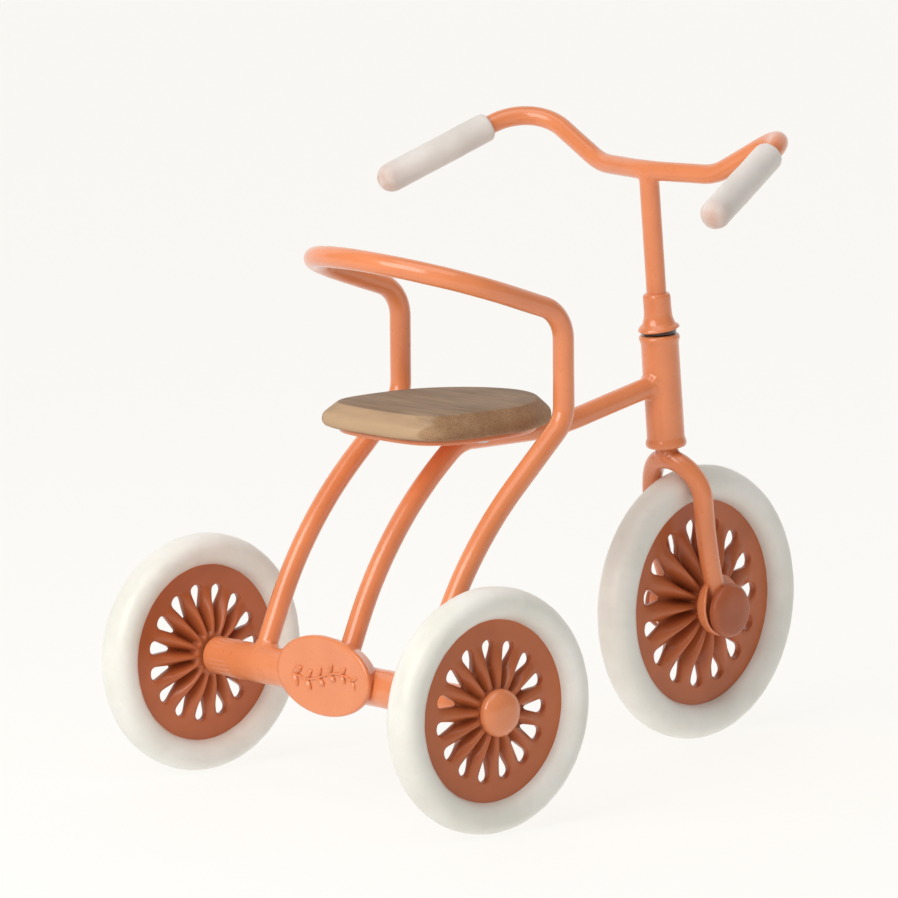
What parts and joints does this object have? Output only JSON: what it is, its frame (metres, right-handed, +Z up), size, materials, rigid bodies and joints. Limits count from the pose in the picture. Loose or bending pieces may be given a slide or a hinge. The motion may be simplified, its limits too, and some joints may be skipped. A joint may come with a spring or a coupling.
{
  "type": "toy tricycle",
  "caption": "Doll-size metal tricycle: coral enamelled tube frame with a hooped backrest, wooden seat, fluted wheel discs with ivory ring tyres and swept-back handlebar.",
  "frame": {"origin": "middle of the box on the ground. The steering rests turned a few degrees to the left, so the frame's own centre plane lies at y = +0.489 mm", "axes": "+X is forward, along the frame's centre plane; +Y is the rider's left, along the rear axle; +Z is up"},
  "size_m": [0.122, 0.0834, 0.1065],
  "materials": {
    "coral_enamel": "thick glossy enamel, pooled at the joints",
    "disc_enamel": "terracotta semi-gloss enamel",
    "ivory_tyre": "smooth satin, no tread",
    "ivory_grip": "matt, slightly tinted at the tips",
    "seat_wood": "unvarnished, open pores, grey-brown",
    "plain_steel": "plain",
    "bush_brass": "plain"
  },
  "bodies": {
    "frame": {"backrest_frame": "coral_enamel", "backbone_tube": "coral_enamel", "head_tube": "coral_enamel", "head_bush_upper": "bush_brass", "head_bush_lower": "bush_brass", "rear_axle_tube": "coral_enamel", "axle_bush_left": "bush_brass", "axle_bush_right": "bush_brass", "axle_badge": "coral_enamel", "seat_plate": "coral_enamel", "wooden_seat": "seat_wood", "seat_screw_left": "plain_steel", "seat_screw_right": "plain_steel", "rear_axle_rod": "plain_steel", "rear_hub_cap_left": "coral_enamel", "rear_hub_cap_right": "coral_enamel", "rear_washer_left": "plain_steel", "rear_washer_right": "plain_steel"},
    "rear_wheel_left": {"rear_wheel_disc_left": "disc_enamel", "rear_tyre_left": "ivory_tyre"},
    "rear_wheel_right": {"rear_wheel_disc_right": "disc_enamel", "rear_tyre_right": "ivory_tyre"},
    "steering": {"fork": "coral_enamel", "steering_stem": "coral_enamel", "headset_collar": "coral_enamel", "handlebar": "coral_enamel", "grip_left": "ivory_grip", "grip_right": "ivory_grip", "front_axle_rod": "plain_steel", "front_axle_button_left": "coral_enamel", "front_axle_button_right": "coral_enamel", "front_washer_left": "plain_steel", "front_washer_right": "plain_steel"},
    "front_wheel": {"front_wheel_disc": "disc_enamel", "front_tyre": "ivory_tyre"}
  },
  "joints": [
    {"name": "steering_turn", "type": "hinge", "parent": "frame", "child": "steering", "pos_m": [0.02967, 0.00049, 0.06021], "axis": [-0.0785, 0, 0.9969], "continuous": true},
    {"name": "front_wheel_spin", "type": "hinge", "parent": "steering", "child": "front_wheel", "pos_m": [0.03772, 0.00107, 0.02335], "axis": [-0.1129, 0.9936, -0.0089], "continuous": true},
    {"name": "rear_wheel_spin_left", "type": "hinge", "parent": "frame", "child": "rear_wheel_left", "pos_m": [-0.04113, 0.03699, 0.01991], "axis": [0, 1, 0], "continuous": true},
    {"name": "rear_wheel_spin_right", "type": "hinge", "parent": "frame", "child": "rear_wheel_right", "pos_m": [-0.04113, -0.03601, 0.01991], "axis": [0, 1, 0], "continuous": true}
  ]
}
